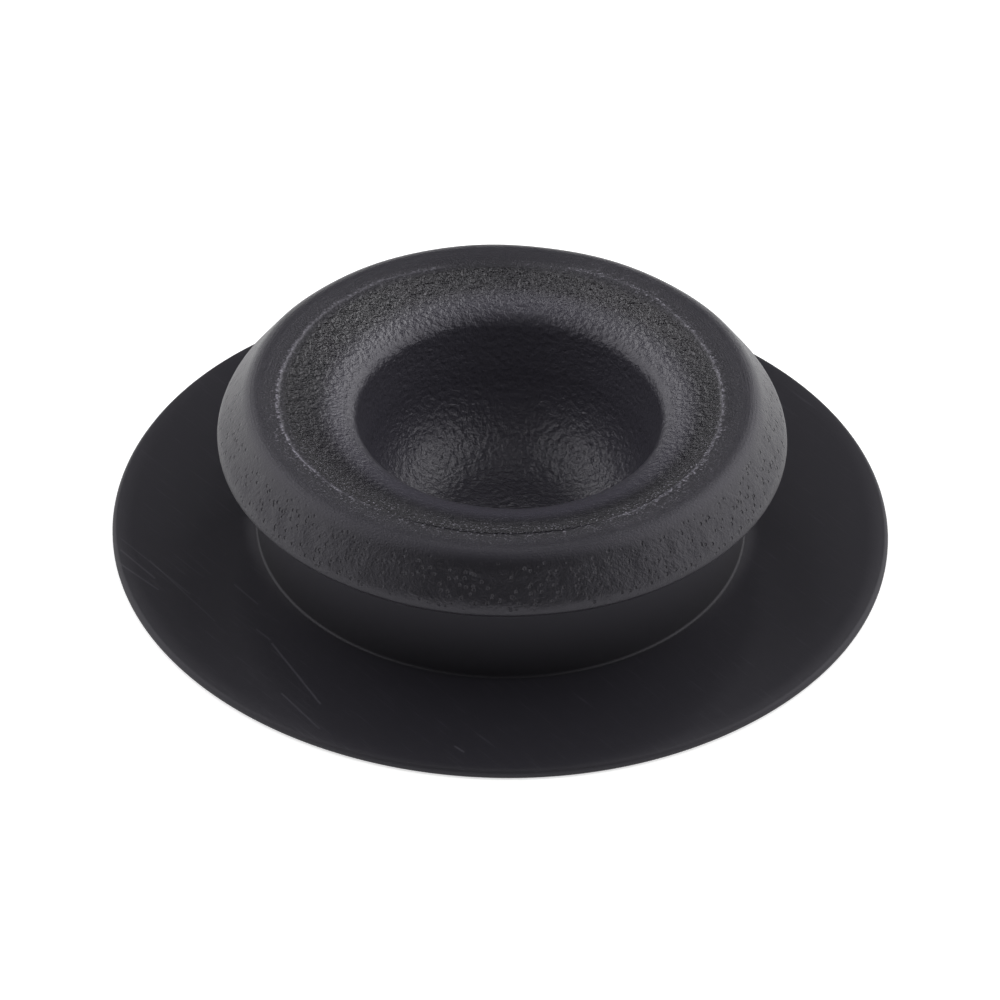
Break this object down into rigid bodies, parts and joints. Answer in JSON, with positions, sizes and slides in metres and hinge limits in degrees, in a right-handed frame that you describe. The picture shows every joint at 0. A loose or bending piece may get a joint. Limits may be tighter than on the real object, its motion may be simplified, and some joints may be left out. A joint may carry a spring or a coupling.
{
  "type": "closed rubber grommet",
  "caption": "Closed rubber grommet: a wide thin flange, a short neck for a round panel hole, and a snap-in head with a fat bead round an open bowl.",
  "frame": {"origin": "centre of the flange's flat outer face, at the bottom of the part as it stands", "axes": "+Z along the axis of revolution, from the flange towards the head"},
  "size_m": [0.039, 0.039, 0.0087],
  "materials": {
    "rubber": "satin moulded black rubber, grained on top of the head"
  },
  "bodies": {
    "root": {"grommet": "rubber"}
  },
  "joints": []
}
